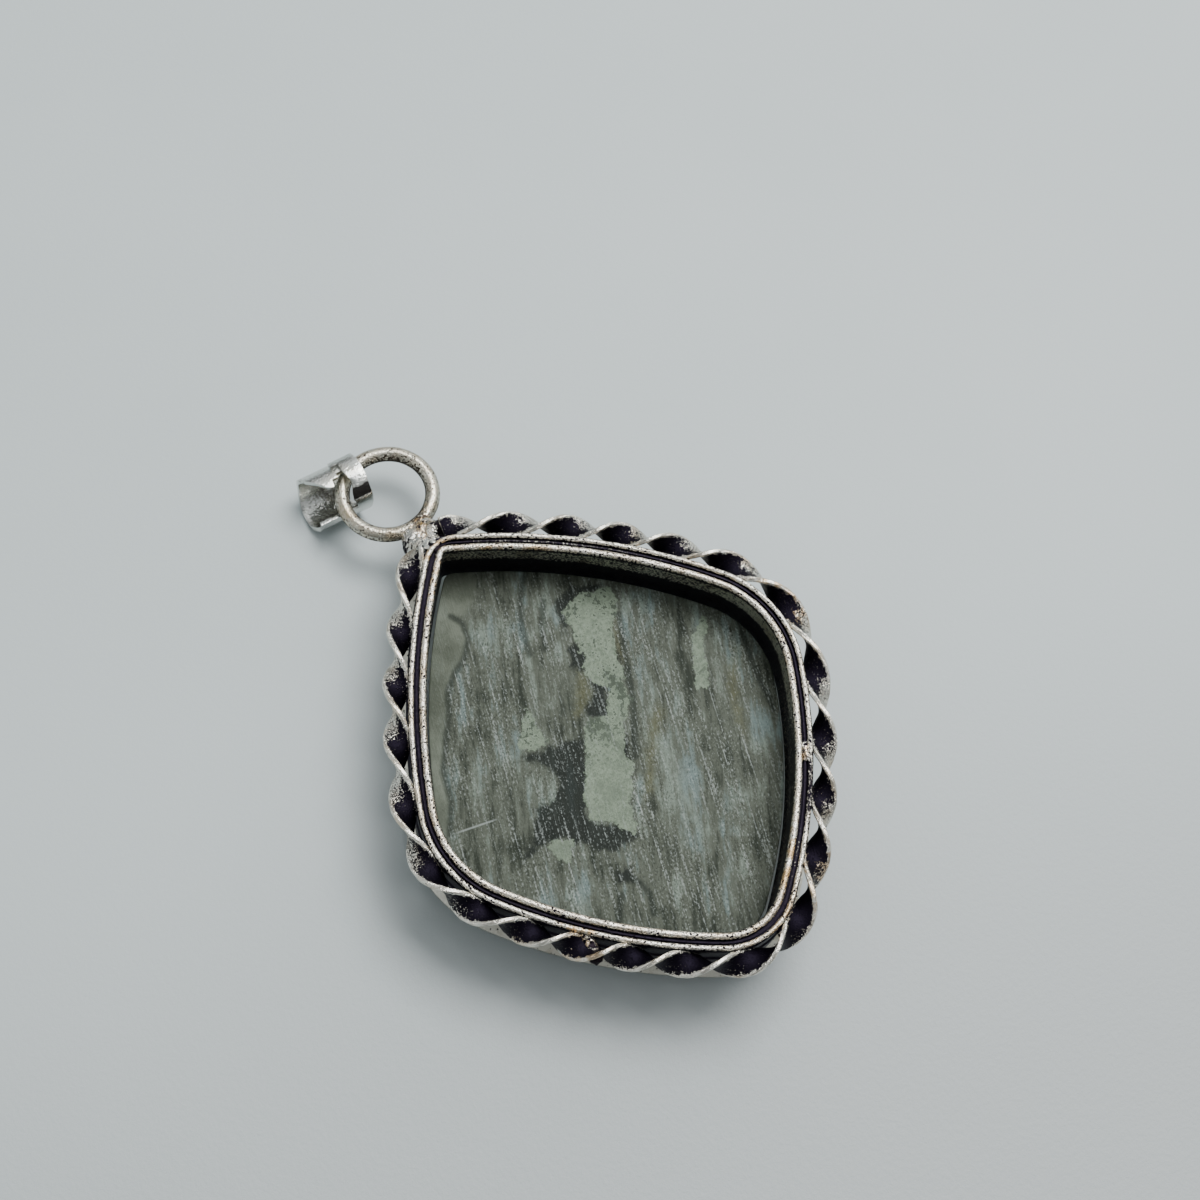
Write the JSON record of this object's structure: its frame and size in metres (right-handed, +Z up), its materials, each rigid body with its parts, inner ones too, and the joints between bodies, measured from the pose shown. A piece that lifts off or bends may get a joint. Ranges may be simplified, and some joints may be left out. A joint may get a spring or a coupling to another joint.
{
  "type": "cabochon pendant",
  "caption": "Rhombus-shaped pendant: a flat-backed cabochon in an open-backed bezel with a twisted ribbon border, a corner ring and a loose rolled-sheet bail.",
  "frame": {"origin": "middle of the footprint, on the floor under the stone's dome", "axes": "+X across the pendant, +Y from the far corner towards the ring and bail, +Z up through the open back"},
  "size_m": [0.035, 0.0512, 0.0075],
  "materials": {
    "stone": "honed grey-green stone, streaked and blotched",
    "oxidised_silver": "oxidised silver, dark in the hollows and rubbed bright on the edges",
    "bright_silver": "bright silver, finely brushed"
  },
  "bodies": {
    "root": {"stone": "stone", "setting": "oxidised_silver", "bail": "bright_silver"}
  },
  "joints": []
}
